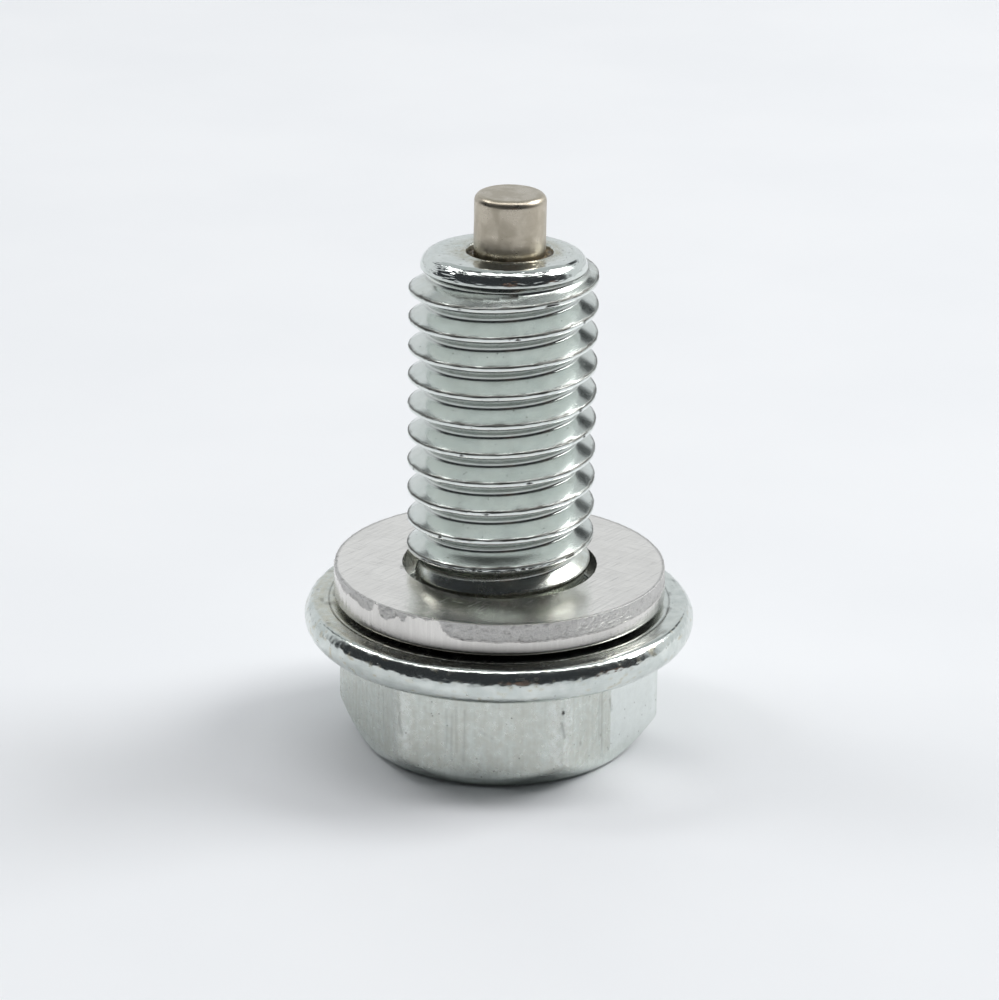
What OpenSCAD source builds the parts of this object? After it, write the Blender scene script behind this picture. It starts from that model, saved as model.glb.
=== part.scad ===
// Magnetic oil drain plug, standing on its hexagon head with the thread up.
// The origin is the middle of the head's end face, and +Z runs along the axis to the magnet.

/* [Head] */
// Width of the hexagon across its flats
hex_af = 11.9; // [11:0.1:12.6]
// Height of the hexagon's flats, from the end face to the flange
hex_h = 3.93; // [3:0.01:6]
// Radius of the rounded corners of the hexagon
hex_corner_r = 0.3; // [0.1:0.05:0.8]
// Turn of the hexagon about the axis, in degrees
hex_turn = -6.8; // [-30:0.1:30]
// Diameter of the flat end face that the plug stands on
end_face_d = 10.9; // [9:0.1:11.2]
// Radius between the end face and the corner chamfer
end_edge_r = 0.5; // [0.1:0.05:0.8]
// Slope of the corner chamfer, measured from the end face in degrees
end_chamfer_slope = 45; // [25:1:60]

/* [Flange] */
// Diameter of the flange
flange_d = 16.5; // [15.6:0.1:20]
// Radius of the flange's round rim
rim_r = 0.9; // [0.7:0.05:1.1]
// Radius of the shoulder between the rim and the flange's face
shoulder_r = 0.4; // [0.2:0.05:0.6]
// Angle on the rim at which it turns into the shoulder, in degrees
shoulder_from = 39; // [20:1:60]
// Slope of the flange's underside, in degrees
flange_slope = 23; // [10:1:35]
// Diameter of the raised seat under the washer
seat_d = 10.4; // [9.6:0.1:12]
// Height of the raised seat over the flange's face
seat_h = 0.22; // [0.1:0.02:0.8]
// Slope of the raised seat's side, in degrees
seat_slope = 35; // [20:1:70]

/* [Shank] */
// Diameter over the thread's crests
thread_d = 7.87; // [7.6:0.01:8]
// Pitch of the thread
thread_pitch = 1.25; // [1:0.05:1.4]
// Length of the shank, from the flange's face to the end of the tip
shank_l = 15.34; // [12:0.1:30]
// How far the plain neck inside the washer lies under the crests
neck_step = 0.35; // [0.2:0.01:0.5]
// Length of the plain neck, from the raised seat to where the thread has run out
neck_l = 1.2; // [1.1:0.02:3]
// Radius of the fillet between the neck and the raised seat
neck_fillet_r = 0.25; // [0.1:0.05:0.4]
// Length over which the last turn of the thread runs out into the neck
runout_l = 0.9; // [0.5:0.1:3]
// How far the tip lies under the crests
tip_step = 0.48; // [0.3:0.01:0.7]
// Radius of the tip's rounded edge
tip_edge_r = 0.65; // [0.3:0.05:0.9]
// Length over which the first turn of the thread rises out of the tip
lead_l = 0.65; // [0.4:0.05:1.2]
// Turn of the thread's start about the axis, in degrees
thread_turn = 106; // [0:1:359]

/* [Washer] */
// Outer diameter of the sealing washer
washer_d = 14; // [13:0.1:15]
// Gap between the washer's hole and the thread's crests, on the diameter
washer_clearance = 0.33; // [0.1:0.01:0.8]
// Thickness of the washer
washer_t = 1.38; // [0.8:0.02:2]
// Radius of the washer's lower edges, drawn in by the punch
washer_edge_r = 0.14; // [0.05:0.01:0.3]

/* [Magnet] */
// Diameter of the magnet
magnet_d = 2.98; // [2:0.02:3.2]
// Length of the magnet
magnet_l = 6; // [4:0.5:9]
// How far the magnet stands out of the tip
magnet_out = 2.46; // [1:0.02:3]
// Radius of the magnet's edges
magnet_edge_r = 0.32; // [0.1:0.01:0.4]
// Diameter of the pocket's mouth in the tip
mouth_d = 3.6; // [3.4:0.05:4]
// Depth of the pocket's mouth
mouth_h = 1.2; // [0.5:0.1:2]
// How far to the side of the axis the pocket was drilled
pocket_off = 0.22; // [0:0.01:0.3]
// Gap between the magnet and its pocket, on the radius
pocket_clearance = 0.02; // [0.01:0.01:0.05]

/* [Hidden] */

// Facets of a full turn, and steps of a drawn arc
round_fn = 96;
arc_steps = 10;
edge_steps = 5;
corner_steps = 3;
// Columns of the thread's surface in one turn
thread_columns = 48;
// Least height between a row of the thread's surface and either end
row_gap = 0.02;
// How far the thread's ends stay inside the round faces that they stand on
end_inset = 0.02;
// How far one solid reaches into the next where they are joined
overlap = 0.8;

// Zinc plate, bare aluminium and nickel plate
zinc = "#b4bdbb";
aluminium = "#c4c1bc";
nickel = "#a89f94";

hex_corner_x = hex_af / 2 / cos(30);
magnet_r = magnet_d / 2;
thread_r = thread_d / 2;
neck_r = thread_r - neck_step;
tip_r = thread_r - tip_step;
neck_end_r = neck_r - end_inset;
tip_end_r = tip_r - end_inset;
washer_r = washer_d / 2;
washer_hole_r = (thread_d + washer_clearance) / 2;

// The rim's arc is tangent to the underside's slope and to the shoulder, which ends level
rim_low = flange_slope - 90;
rim_x = flange_d / 2 - rim_r;
slope_run = rim_x + rim_r * cos(rim_low) - hex_af / 2;
rim_z = hex_h + slope_run * tan(flange_slope) - rim_r * sin(rim_low);
shoulder_x = rim_x + (rim_r - shoulder_r) * cos(shoulder_from);
shoulder_z = rim_z + (rim_r - shoulder_r) * sin(shoulder_from);

flange_z = shoulder_z + shoulder_r;
seat_z = flange_z + seat_h;
seat_foot_x = seat_d / 2 + seat_h / tan(seat_slope);
thread_z0 = seat_z + neck_fillet_r;
runout_z = seat_z + neck_l;
tip_z = flange_z + shank_l;
thread_z1 = tip_z - tip_edge_r;
magnet_z1 = tip_z + magnet_out;
magnet_z0 = magnet_z1 - magnet_l;

// Flanks at 60 degrees between a flat crest, an eighth of the pitch wide, and a round root
crest_half = thread_pitch / 16;
thread_depth = 0.6134 * thread_pitch;
root_r = thread_r - thread_depth;
root_round = (thread_pitch / 2 - crest_half) * tan(60) - thread_depth;

// One pitch of the thread's form: distance from the crest's middle, and height over the root
form = [
    [-thread_pitch / 2, 0],
    [-thread_pitch / 2 + root_round * sin(30), root_round * (1 - cos(30))],
    [-thread_pitch / 2 + root_round * sin(60), root_round * (1 - cos(60))],
    [-crest_half, thread_depth],
    [crest_half, thread_depth],
    [thread_pitch / 2 - root_round * sin(60), root_round * (1 - cos(60))],
    [thread_pitch / 2 - root_round * sin(30), root_round * (1 - cos(30))]
];
form_n = len(form);
turns_below = ceil((thread_z1 - thread_z0) / thread_pitch) + 2;
row_n = form_n * (turns_below + 4);
first_crest_z = thread_z1 - thread_pitch * (thread_turn / 360 + turns_below);

// Points of an arc round (x, z), from one angle to another
function arc(x, z, r, from, to, steps = arc_steps) =
    [for (i = [0:steps]) let (a = from + (to - from) * i / steps) [x + r * cos(a), z + r * sin(a)]];

function unit(x) = max(0, min(1, x));

// Height of the crest's middle, and of a row, at a column of the thread's surface
function crest_z(i, j) = first_crest_z + thread_pitch * (floor(j / form_n) + i / thread_columns);
function row_z(i, j) = crest_z(i, j) + form[j % form_n][0];

// Share of the thread's full depth that a groove or crest at height s has over the neck
function run_in(s) = sin(90 * unit((s - runout_z) / runout_l));

// Radius at the root of a groove, and on a crest, whose middle is at height s
function root_at(s) = neck_end_r - (neck_end_r - root_r) * run_in(s);
function crest_at(s) = let (b = s < (thread_z0 + thread_z1) / 2 ? neck_end_r : tip_end_r)
    b + (thread_r - b) * min(run_in(s), unit((thread_z1 - s) / lead_l + 1 / 2));

// Radius of a lattice point, between its crest and the groove on its own side of the crest
function ridge_at(i, j) = let (
    s = crest_z(i, j),
    p = form[j % form_n],
    b = root_at(s + sign(p[0]) * thread_pitch / 2)
) b + (crest_at(s) - b) * p[1] / thread_depth;

// First and last row of each column that lies between the thread's ends
rows_low = [for (i = [0:thread_columns - 1])
    min([for (j = [0:row_n - 1]) if (row_z(i, j) > thread_z0 + row_gap) j])];
rows_high = [for (i = [0:thread_columns - 1])
    max([for (j = [0:row_n - 1]) if (row_z(i, j) < thread_z1 - row_gap) j])];

function thread_point(i, j) = let (
    low = j < rows_low[i],
    high = j > rows_high[i],
    z = low ? thread_z0 : high ? thread_z1 : row_z(i, j),
    r = low ? neck_end_r : high ? tip_end_r : ridge_at(i, j),
    a = 360 * i / thread_columns
) [r * cos(a), r * sin(a), z];

// Index of a lattice point: past the last column it is a full turn up in the first one,
// and past the thread's ends it is the column's end point
function thread_index(i, j) = i == thread_columns
    ? thread_index(0, j + form_n)
    : i * row_n + max(rows_low[i] - 1, min(rows_high[i] + 1, j));

function thread_cell(a, b, c, d) = concat(a == d ? [] : [[a, d, c]], b == c ? [] : [[a, c, b]]);

// Outline of the hexagon with its rounded corners
function hex_outline() = [for (k = [0:5], p = arc(
    (hex_corner_x - hex_corner_r / cos(30)) * cos(60 * k),
    (hex_corner_x - hex_corner_r / cos(30)) * sin(60 * k),
    hex_corner_r, 60 * k - 30, 60 * k + 30, corner_steps)) p];

// Hexagon with its end face's round edge and corner chamfer
module hex_head() {
    end_x = end_face_d / 2;
    chamfer_from = end_chamfer_slope - 90;
    chamfer_x = end_x + end_edge_r * cos(chamfer_from);
    chamfer_z = end_edge_r * (1 + sin(chamfer_from));
    top_z = hex_h + overlap;
    intersection() {
        rotate([0, 0, hex_turn])
            linear_extrude(height = top_z)
                polygon(hex_outline());
        rotate_extrude($fn = round_fn)
            polygon(concat(
                [[0, 0]],
                arc(end_x, end_edge_r, end_edge_r, -90, chamfer_from),
                [[chamfer_x + top_z, chamfer_z + top_z * tan(end_chamfer_slope)],
                 [0, chamfer_z + top_z * tan(end_chamfer_slope)]]));
    }
}

// Flange with its raised seat, and the plain neck over it
module flange() {
    rotate_extrude($fn = round_fn)
        polygon(concat(
            [[0, hex_h], [hex_af / 2, hex_h]],
            arc(rim_x, rim_z, rim_r, rim_low, shoulder_from),
            arc(shoulder_x, shoulder_z, shoulder_r, shoulder_from, 90),
            [[seat_foot_x, flange_z], [seat_d / 2, seat_z]],
            arc(neck_r + neck_fillet_r, seat_z + neck_fillet_r, neck_fillet_r, -90, -180),
            [[neck_r, thread_z0], [0, thread_z0]]));
}

// Rolled thread: one ridge that winds up the shank and fades into the neck and the tip
module thread() {
    polyhedron(
        points = [for (i = [0:thread_columns - 1], j = [0:row_n - 1]) thread_point(i, j)],
        faces = concat(
            [for (i = [0:thread_columns - 1], j = [0:row_n - form_n - 2], f = thread_cell(
                thread_index(i, j), thread_index(i + 1, j),
                thread_index(i + 1, j + 1), thread_index(i, j + 1))) f],
            [[for (i = [0:thread_columns - 1]) thread_index(i, 0)]],
            [[for (i = [thread_columns - 1:-1:0]) thread_index(i, row_n - 1)]]));
}

// End of the shank past the thread, with its rounded edge
module tip() {
    rotate_extrude($fn = round_fn)
        polygon(concat(
            [[0, thread_z1]],
            arc(tip_r - tip_edge_r, thread_z1, tip_edge_r, 0, 90),
            [[0, tip_z]]));
}

// Blind pocket with a wider mouth, for the magnet
module pocket() {
    translate([pocket_off, 0, magnet_z0])
        cylinder(h = tip_z - magnet_z0 + overlap, r = magnet_r + pocket_clearance, $fn = round_fn);
    translate([pocket_off, 0, tip_z - mouth_h])
        cylinder(h = mouth_h + overlap, d = mouth_d, $fn = round_fn);
}

module plug_body() {
    color(zinc)
        difference() {
            union() {
                hex_head();
                flange();
                thread();
                tip();
            }
            pocket();
        }
}

module sealing_washer() {
    color(aluminium)
        translate([0, 0, seat_z])
            rotate_extrude($fn = round_fn)
                polygon(concat(
                    arc(washer_hole_r + washer_edge_r, washer_edge_r, washer_edge_r, 180, 270, edge_steps),
                    arc(washer_r - washer_edge_r, washer_edge_r, washer_edge_r, -90, 0, edge_steps),
                    [[washer_r, washer_t], [washer_hole_r, washer_t]]));
}

module magnet() {
    color(nickel)
        translate([pocket_off, 0, magnet_z0])
            rotate_extrude($fn = round_fn)
                polygon(concat(
                    [[0, 0]],
                    arc(magnet_r - magnet_edge_r, magnet_edge_r, magnet_edge_r, -90, 0, edge_steps),
                    arc(magnet_r - magnet_edge_r, magnet_l - magnet_edge_r, magnet_edge_r, 0, 90, edge_steps),
                    [[0, magnet_l]]));
}

plug_body();
sealing_washer();
magnet();
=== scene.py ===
"""Looks of a magnetic oil drain plug that stands on its hexagon head.

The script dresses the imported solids. It draws the plug, its sealing washer and its
magnet again as fine meshes of the same size, gives each a procedural finish, and sets up
the floor, the light and the camera. Sizes in the classes are in millimetres. Angles on
the plug are counted from +X, and the camera looks along +Y.
"""

import logging
import math
from dataclasses import dataclass, field
from enum import Enum
from typing import Any, Mapping, Optional, Sequence, Union

import bmesh
import bpy
import numpy as np
from mathutils import Matrix, Vector


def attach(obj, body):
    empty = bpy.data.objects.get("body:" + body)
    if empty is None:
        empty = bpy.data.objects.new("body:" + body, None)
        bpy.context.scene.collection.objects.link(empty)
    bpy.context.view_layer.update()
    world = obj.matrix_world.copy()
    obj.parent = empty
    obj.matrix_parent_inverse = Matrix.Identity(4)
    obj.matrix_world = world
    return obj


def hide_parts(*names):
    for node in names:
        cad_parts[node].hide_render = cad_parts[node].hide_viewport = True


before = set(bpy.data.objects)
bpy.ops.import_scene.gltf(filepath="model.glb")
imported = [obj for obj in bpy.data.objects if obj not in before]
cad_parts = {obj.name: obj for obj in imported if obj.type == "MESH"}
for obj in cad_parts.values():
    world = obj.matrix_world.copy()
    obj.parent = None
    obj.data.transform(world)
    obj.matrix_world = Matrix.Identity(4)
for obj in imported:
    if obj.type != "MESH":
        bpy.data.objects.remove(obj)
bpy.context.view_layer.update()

LOG = logging.getLogger("drain_plug")
MM = 0.001
FULL_TURN = 2 * math.pi

Array = np.ndarray
Colour = tuple[float, float, float]
Number = Union[int, float]
Pair = tuple[float, float]


# Seeded noise on round surfaces


def smooth(low: float, high: float, value: Array) -> Array:
    """Runs smoothly from 0 at low to 1 at high.

    Args:
        low: value at which the result leaves 0.
        high: value at which it reaches 1.
        value: values to look up.

    Returns:
        The share of the way, from 0 to 1.
    """
    share = np.clip((value - low) / (high - low), 0.0, 1.0)
    return share * share * (3.0 - 2.0 * share)


def soft_least(first: Array, second: Array, width: float) -> Array:
    """Gives the smaller of two values, with their crossing rounded off.

    Args:
        first: one set of values.
        second: the other set.
        width: how far from the crossing the rounding reaches.

    Returns:
        The rounded smaller values.
    """
    share = np.clip(0.5 + 0.5 * (second - first) / width, 0.0, 1.0)
    return second * (1 - share) + first * share - width * share * (1 - share)


@dataclass(frozen=True)
class Ripple:
    """Seeded noise between -1 and 1 that closes on itself after a full turn."""

    seed: int

    def around(self, angle: Array, cells: int) -> Array:
        """Gives noise along a circle.

        Args:
            angle: angles in radians, of any size.
            cells: number of random values in one full turn.

        Returns:
            One value for each angle.
        """
        values = np.random.default_rng(self.seed).uniform(-1, 1, cells)
        place = np.mod(angle / FULL_TURN, 1.0) * cells
        cell = np.floor(place).astype(int)
        share = smooth(0, 1, place - cell)
        return values[cell % cells] * (1 - share) + values[(cell + 1) % cells] * share

    def along(self, distance: Array, step: float) -> Array:
        """Gives noise along a line.

        Args:
            distance: places on the line, in millimetres.
            step: distance between two random values.

        Returns:
            One value for each place.
        """
        values = np.random.default_rng(self.seed).uniform(-1, 1, 4096)
        place = distance / step
        cell = np.floor(place).astype(int)
        share = smooth(0, 1, place - cell)
        return values[cell % 4096] * (1 - share) + values[(cell + 1) % 4096] * share

    def over(self, angle: Array, height: Array, cells: int, step: float) -> Array:
        """Gives noise over a round surface.

        Args:
            angle: angles in radians.
            height: places along the profile, in millimetres.
            cells: number of random values in one full turn.
            step: distance between two rows of random values.

        Returns:
            One value for each pair of angle and height.
        """
        values = np.random.default_rng(self.seed).uniform(-1, 1, (256, cells))
        place = np.mod(angle / FULL_TURN, 1.0) * cells
        column = np.floor(place).astype(int)
        across = smooth(0, 1, place - column)
        level = height / step
        row = np.floor(level).astype(int)
        up = smooth(0, 1, level - row)
        here, beside = column % cells, (column + 1) % cells
        low = values[row % 256, here] * (1 - across) + values[row % 256, beside] * across
        row = row + 1
        high = values[row % 256, here] * (1 - across) + values[row % 256, beside] * across
        return low * (1 - up) + high * up


def bump_at(angle: Array, place: Array, centre: Pair, size: Pair) -> Array:
    """Gives a round bump on an unrolled surface.

    Args:
        angle: angles of the points, in radians.
        place: heights or radii of the points, in millimetres.
        centre: the bump's angle in degrees, and its height or radius.
        size: its half width in degrees, and its half height in millimetres.

    Returns:
        1 at the bump's middle, and about 0 past its half width.
    """
    turn = np.mod(np.degrees(angle) - centre[0] + 180, 360) - 180
    return np.exp(-2.5 * ((turn / size[0]) ** 2 + ((place - centre[1]) / size[1]) ** 2))


# Meshes


@dataclass
class Skin:
    """Points and faces of one mesh, in millimetres.

    Attributes:
        points: one row of x, y and z for each point.
        faces: rows of four point numbers, where a triangle repeats its last one.
        marks: values from 0 to 1 for each point, which the finish reads by name.
    """

    points: Array
    faces: Array
    marks: dict[str, Array] = field(default_factory=dict)

    def piece(self, name: str) -> bpy.types.Object:
        """Makes the mesh object.

        Args:
            name: the piece's name.

        Returns:
            The object, linked to the scene, with smooth shading.
        """
        faces = self.faces[[len(set(face)) > 2 for face in self.faces.tolist()]]
        used, numbers = np.unique(faces, return_inverse=True)
        numbers = numbers.reshape(faces.shape).tolist()
        rings = [list(dict.fromkeys(face)) for face in numbers]
        mesh = bpy.data.meshes.new(name)
        mesh.from_pydata((self.points[used] * MM).tolist(), [], rings)
        for mark, values in self.marks.items():
            layer = mesh.attributes.new(mark, "FLOAT", "POINT")
            layer.data.foreach_set("value", values[used].astype(np.float32))
        mesh.polygons.foreach_set("use_smooth", [True] * len(rings))
        solid = bmesh.new()
        solid.from_mesh(mesh)
        bmesh.ops.remove_doubles(solid, verts=solid.verts, dist=2e-4 * MM)
        solid.to_mesh(mesh)
        solid.free()
        made = bpy.data.objects.new(name, mesh)
        bpy.context.scene.collection.objects.link(made)
        return made


def ring_faces(columns: int, rows: int, first: int = 0) -> Array:
    """Lists the faces of a closed tube of points that are numbered column by column.

    Args:
        columns: number of columns round the tube.
        rows: number of points in each column.
        first: number of the first point.

    Returns:
        Rows of four point numbers that face outwards where the rows go up.
    """
    column, row = np.meshgrid(np.arange(columns), np.arange(rows - 1), indexing="ij")
    here = first + column * rows + row
    beside = first + (column + 1) % columns * rows + row
    return np.stack([here, beside, beside + 1, here + 1], axis=-1).reshape(-1, 4)


def turned(angle: Array, radius: Array, height: Array, side: Union[Array, float] = 0.0) -> Array:
    """Places points round the axis.

    Args:
        angle: one angle for each column.
        radius: radius of each point, by column and row.
        height: height of each point, by column and row.
        side: how far the point's own axis is moved towards +X.

    Returns:
        The points, column by column.
    """
    x = radius * np.cos(angle)[:, None] + side
    y = radius * np.sin(angle)[:, None]
    return np.stack([x, y, np.broadcast_to(height, radius.shape)], axis=-1).reshape(-1, 3)


def arc(centre: Pair, radius: float, span: Pair, steps: int) -> list[Pair]:
    """Lists points of an arc in a profile.

    Args:
        centre: radius and height of the arc's centre.
        radius: the arc's own radius.
        span: first and last angle in degrees.
        steps: number of stretches.

    Returns:
        Pairs of radius and height.
    """
    turns = np.radians(np.linspace(span[0], span[1], steps + 1))
    return [(centre[0] + radius * math.cos(t), centre[1] + radius * math.sin(t)) for t in turns]


def line(start: Pair, end: Pair, steps: int) -> list[Pair]:
    """Lists points of a straight stretch of a profile, without its two ends."""
    shares = [i / steps for i in range(1, steps)]
    return [(start[0] + (end[0] - start[0]) * s, start[1] + (end[1] - start[1]) * s) for s in shares]


def eased(start: Pair, end: Pair, steps: int) -> list[Pair]:
    """Lists points of a straight stretch, closer together at its two ends, which are left out."""
    shares = [(1 - math.cos(math.pi * i / steps)) / 2 for i in range(1, steps)]
    return [(start[0] + (end[0] - start[0]) * s, start[1] + (end[1] - start[1]) * s) for s in shares]


def swept(profile: Sequence[Pair], columns: int) -> tuple[Array, Array, Array, Array]:
    """Repeats a profile round the axis.

    Args:
        profile: pairs of radius and height.
        columns: number of columns round the axis.

    Returns:
        The columns' angles, then the radius, height and angle of each point, by column and row.
    """
    rows = np.array(profile)
    angle = np.linspace(0, FULL_TURN, columns, endpoint=False)
    radius = rows[None, :, 0].repeat(columns, 0)
    height = rows[None, :, 1].repeat(columns, 0)
    return angle, radius, height, angle[:, None] + 0 * radius


def marks_of(**values: Array) -> dict[str, Array]:
    """Keeps each mark between 0 and 1, and lists it point by point."""
    return {name: np.clip(value, 0, 1).reshape(-1) for name, value in values.items()}


def line_at(place: Array, middle: float, width: float) -> Array:
    """Gives 1 on a line, and less away from it."""
    return np.exp(-(((place - middle) / width) ** 2))


# Shader expressions


class Value:
    """A number in a material, written as a Python expression.

    Each operator adds one Math node to the material's tree.
    """

    def __init__(self, graph: "Graph", socket: bpy.types.NodeSocket) -> None:
        """Wraps an output socket of the graph."""
        self.graph = graph
        self.socket = socket

    def math(self, operation: str, *others: Union["Value", Number]) -> "Value":
        """Adds a Math node with this value as its first input."""
        return self.graph.math(operation, self, *others)

    def __add__(self, other: Union["Value", Number]) -> "Value":
        """Adds."""
        return self.math("ADD", other)

    def __radd__(self, other: Number) -> "Value":
        """Adds to a plain number."""
        return self.math("ADD", other)

    def __sub__(self, other: Union["Value", Number]) -> "Value":
        """Subtracts."""
        return self.math("SUBTRACT", other)

    def __rsub__(self, other: Number) -> "Value":
        """Subtracts from a plain number."""
        return self.graph.math("SUBTRACT", other, self)

    def __mul__(self, other: Union["Value", Number]) -> "Value":
        """Multiplies."""
        return self.math("MULTIPLY", other)

    def __rmul__(self, other: Number) -> "Value":
        """Multiplies a plain number."""
        return self.math("MULTIPLY", other)

    def __truediv__(self, other: Union["Value", Number]) -> "Value":
        """Divides."""
        return self.math("DIVIDE", other)

    def most(self, other: Union["Value", Number]) -> "Value":
        """Gives the larger of the two."""
        return self.math("MAXIMUM", other)

    def ramp(self, low: float, high: float) -> "Value":
        """Runs smoothly from 0 at low to 1 at high, or down if low is the larger.

        Args:
            low: value at which the result leaves 0.
            high: value at which it reaches 1.

        Returns:
            The result, which stays between 0 and 1.
        """
        settings = {"interpolation_type": "SMOOTHSTEP", "clamp": True}
        start, end, ends = (low, high, (0.0, 1.0)) if low < high else (high, low, (1.0, 0.0))
        made = self.graph.node(
            "ShaderNodeMapRange",
            settings,
            {"Value": self, "From Min": start, "From Max": end, "To Min": ends[0], "To Max": ends[1]},
        )
        return Value(self.graph, made.outputs["Result"])


Input = Union[Value, bpy.types.NodeSocket, Number, Sequence[float]]


class Graph:
    """A node tree that is built from expressions."""

    def __init__(self, tree: bpy.types.NodeTree) -> None:
        """Empties the tree."""
        tree.nodes.clear()
        self.tree = tree

    def node(
        self,
        kind: str,
        settings: Optional[Mapping[str, Any]] = None,
        inputs: Optional[Mapping[Union[str, int], Input]] = None,
    ) -> bpy.types.Node:
        """Adds any node.

        Args:
            kind: the node's type.
            settings: properties of the node, which are set first.
            inputs: value or link of each socket, by its name or number.

        Returns:
            The new node.
        """
        made = self.tree.nodes.new(kind)
        for name, value in (settings or {}).items():
            setattr(made, name, value)
        for name, value in (inputs or {}).items():
            if isinstance(value, Value):
                value = value.socket
            if isinstance(value, bpy.types.NodeSocket):
                self.tree.links.new(value, made.inputs[name])
            else:
                made.inputs[name].default_value = value
        return made

    def math(self, operation: str, *values: Input) -> Value:
        """Adds a Math node.

        Args:
            operation: the node's operation.
            values: its inputs in order.

        Returns:
            The node's result.
        """
        made = self.node("ShaderNodeMath", {"operation": operation}, dict(enumerate(values)))
        return Value(self, made.outputs[0])

    def place(self) -> bpy.types.NodeSocket:
        """Gives the point on the piece, in millimetres."""
        made = self.node("ShaderNodeTexCoord")
        return self.stretched(made.outputs["Object"], (1 / MM, 1 / MM, 1 / MM))

    def stretched(self, vector: Input, scale: Sequence[float]) -> bpy.types.NodeSocket:
        """Multiplies each part of a vector."""
        made = self.node("ShaderNodeVectorMath", {"operation": "MULTIPLY"}, {0: vector, 1: scale})
        return made.outputs[0]

    def parts(self, vector: Input) -> tuple[Value, Value, Value]:
        """Splits a vector into its three numbers."""
        made = self.node("ShaderNodeSeparateXYZ", inputs={0: vector})
        return Value(self, made.outputs[0]), Value(self, made.outputs[1]), Value(self, made.outputs[2])

    def joined(self, x: Input, y: Input, z: Input) -> bpy.types.NodeSocket:
        """Makes a vector of three numbers."""
        return self.node("ShaderNodeCombineXYZ", inputs={0: x, 1: y, 2: z}).outputs[0]

    def noise(self, vector: Input, scale: float, detail: float = 2.0, twist: float = 0.0) -> Value:
        """Adds cloudy noise.

        Args:
            vector: place in the noise.
            scale: number of clouds to a unit of the vector.
            detail: number of finer layers.
            twist: how far the clouds are pulled out of shape.

        Returns:
            A value about 0.5, from 0 to 1.
        """
        made = self.node(
            "ShaderNodeTexNoise",
            {"noise_dimensions": "3D"},
            {"Vector": vector, "Scale": scale, "Detail": detail, "Distortion": twist},
        )
        return Value(self, made.outputs["Fac"])

    def dots(self, vector: Input, scale: float) -> Value:
        """Gives the distance to the nearest of many scattered points."""
        made = self.node("ShaderNodeTexVoronoi", {"feature": "F1"}, {"Vector": vector, "Scale": scale})
        return Value(self, made.outputs["Distance"])

    def mark(self, name: str) -> Value:
        """Reads a value that the mesh holds for each point."""
        made = self.node("ShaderNodeAttribute", {"attribute_name": name})
        return Value(self, made.outputs["Fac"])

    def colour(self, share: Input, first: Input, second: Input) -> bpy.types.NodeSocket:
        """Mixes two colours.

        Args:
            share: 0 for the first colour, 1 for the second.
            first: one colour, as numbers or a link.
            second: the other colour.

        Returns:
            The mixed colour's socket.
        """
        ends = [(*c, 1.0) if isinstance(c, tuple) else c for c in (first, second)]
        made = self.node(
            "ShaderNodeMix",
            {"data_type": "RGBA"},
            {"Factor": share, 6: ends[0], 7: ends[1]},
        )
        return made.outputs[2]

    def bumped(self, height: Value, depth: float) -> bpy.types.NodeSocket:
        """Makes a normal from a height.

        Args:
            height: value of about 0 to 1 over the surface.
            depth: what a height of 1 stands for, in millimetres.

        Returns:
            The normal's socket.
        """
        made = self.node("ShaderNodeBump", inputs={"Strength": 1.0, "Distance": depth * MM, "Height": height})
        return made.outputs["Normal"]

    def ends_in(self, shader: bpy.types.Node, output: str = "ShaderNodeOutputMaterial") -> None:
        """Links the shader to the tree's output."""
        self.node(output, inputs={"Surface": shader.outputs[0]})


class Grain(Enum):
    """Which way the tool marks of a surface run."""

    AROUND = "around the axis"
    ALONG = "along the axis"
    BRUSHED = "slanting over a flat face"


@dataclass(frozen=True)
class Finish:
    """What all finishes share: a name and how their tool marks run."""

    name: str

    def graph(self) -> tuple[bpy.types.Material, Graph]:
        """Makes an empty material with nodes.

        Returns:
            The material and its tree.
        """
        material = bpy.data.materials.new(self.name)
        material.use_nodes = True
        return material, Graph(material.node_tree)

    @staticmethod
    def coat(graph: Graph, **inputs: Input) -> None:
        """Ends the tree in one Principled shader, whose sockets are named with _ for a space."""
        sockets = {name.replace("_", " "): value for name, value in inputs.items()}
        graph.ends_in(graph.node("ShaderNodeBsdfPrincipled", inputs=sockets))

    @staticmethod
    def lines(graph: Graph, place: Input, grain: Grain, fineness: float, slant: float = 53.0) -> Value:
        """Gives long thin tool marks.

        Args:
            graph: the material's tree.
            place: the point on the piece, in millimetres.
            grain: which way the marks run.
            fineness: number of marks to a millimetre.
            slant: for brushed marks, their angle to +X in degrees.

        Returns:
            Noise from 0 to 1 that changes quickly across the marks.
        """
        x, y, z = graph.parts(place)
        if grain is Grain.ALONG:
            return graph.noise(graph.stretched(place, (fineness, fineness, 0.35)), 1.0, 3.0)
        if grain is Grain.BRUSHED:
            c, s = math.cos(math.radians(slant)), math.sin(math.radians(slant))
            run, over = x * c + y * s, y * c - x * s
            return graph.noise(graph.joined(run * 0.8, over * fineness, z * 0.6), 1.0, 4.0)
        radius = (x * x + y * y).math("SQRT")
        turn = graph.joined(x / radius * 1.6, y / radius * 1.6, (radius + z * 1.3) * fineness)
        return graph.noise(turn, 1.0, 3.0)


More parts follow.
